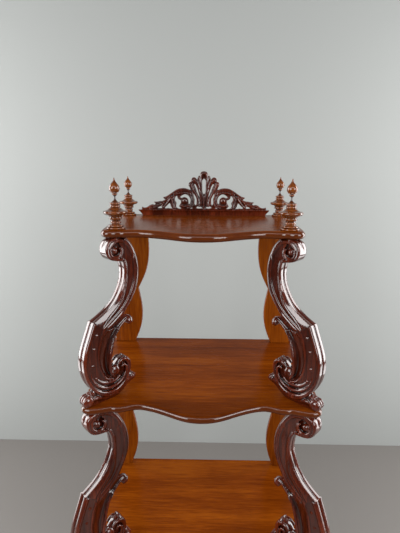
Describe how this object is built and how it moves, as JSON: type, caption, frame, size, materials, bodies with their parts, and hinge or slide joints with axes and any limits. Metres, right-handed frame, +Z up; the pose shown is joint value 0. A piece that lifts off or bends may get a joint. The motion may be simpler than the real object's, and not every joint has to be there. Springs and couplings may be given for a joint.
{
  "type": "etagere",
  "caption": "Tall open whatnot with serpentine shelves on scroll-carved front supports and lobed rear uprights, turned finials, turned feet and a pierced carved crest.",
  "frame": {"origin": "on the floor, under the middle of the bounding box", "axes": "+Z up, -Y the front, +X to the right seen from the front"},
  "size_m": [0.672, 0.466, 1.5041],
  "materials": {
    "shelf_mahogany": "French-polished mahogany, grain along the width",
    "carved_mahogany": "French-polished carved mahogany, dark red-brown, darker in the hollows",
    "upright_mahogany": "polished mahogany board, upright grain",
    "finial_mahogany": "turned and polished mahogany",
    "foot_mahogany": "turned and polished mahogany",
    "dowel_birch": "bare birch dowel"
  },
  "bodies": {
    "root": {"crest_dowels": "dowel_birch", "crest_fret": "carved_mahogany", "crest_rail": "carved_mahogany", "finial_front_left": "finial_mahogany", "finial_front_right": "finial_mahogany", "finial_rear_left": "finial_mahogany", "finial_rear_right": "finial_mahogany", "foot_front_left": "foot_mahogany", "foot_front_right": "foot_mahogany", "foot_rear_left": "foot_mahogany", "foot_rear_right": "foot_mahogany", "front_dowels_second": "dowel_birch", "front_dowels_third": "dowel_birch", "front_support_left_lower": "carved_mahogany", "front_support_left_middle": "carved_mahogany", "front_support_left_upper": "carved_mahogany", "front_support_right_lower": "carved_mahogany", "front_support_right_middle": "carved_mahogany", "front_support_right_upper": "carved_mahogany", "rear_dowels_bottom": "dowel_birch", "rear_dowels_second": "dowel_birch", "rear_dowels_third": "dowel_birch", "rear_dowels_top": "dowel_birch", "rear_upright_left_lower": "upright_mahogany", "rear_upright_left_middle": "upright_mahogany", "rear_upright_left_upper": "upright_mahogany", "rear_upright_right_lower": "upright_mahogany", "rear_upright_right_middle": "upright_mahogany", "rear_upright_right_upper": "upright_mahogany", "shelf_bottom": "shelf_mahogany", "shelf_second": "shelf_mahogany", "shelf_third": "shelf_mahogany", "shelf_top": "shelf_mahogany"}
  },
  "joints": []
}
